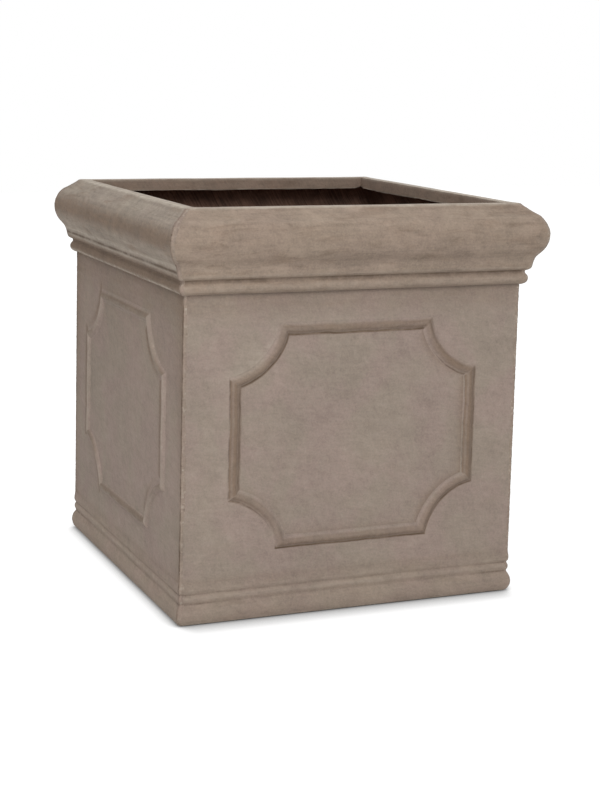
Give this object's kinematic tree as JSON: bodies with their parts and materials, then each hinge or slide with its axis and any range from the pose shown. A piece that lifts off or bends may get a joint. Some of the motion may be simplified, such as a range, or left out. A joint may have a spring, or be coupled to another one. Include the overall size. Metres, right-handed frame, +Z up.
{
  "type": "square planter",
  "caption": "Cube-shaped floor planter with a heavy roll cornice, raised scoop-cornered frames on its walls, a beaded plinth and a plugged drain in its floor.",
  "frame": {"origin": "on the ground under the middle of the planter", "axes": "+Z up through the mouth, -Y out of the front wall, +X to the right seen from the front"},
  "size_m": [0.61, 0.61, 0.61],
  "materials": {
    "cast_stone": "matte antiqued taupe wash",
    "raw_cast": "raw brushed brown",
    "plug_rubber": "matte black"
  },
  "bodies": {
    "planter": {"cornice_front": "cast_stone", "cornice_right": "cast_stone", "cornice_back": "cast_stone", "cornice_left": "cast_stone", "wall_front": "cast_stone", "wall_right": "cast_stone", "wall_back": "cast_stone", "wall_left": "cast_stone", "plinth_front": "cast_stone", "plinth_right": "cast_stone", "plinth_back": "cast_stone", "plinth_left": "cast_stone", "floor_panel": "raw_cast", "corner_strip_front_right": "raw_cast", "corner_strip_back_right": "raw_cast", "corner_strip_back_left": "raw_cast", "corner_strip_front_left": "raw_cast"},
    "plug": {"drain_plug": "plug_rubber"}
  },
  "joints": [
    {"name": "plug_lift", "type": "slide", "parent": "planter", "child": "plug", "axis": [0, 0, 1], "range_m": [0, 0.62]}
  ]
}
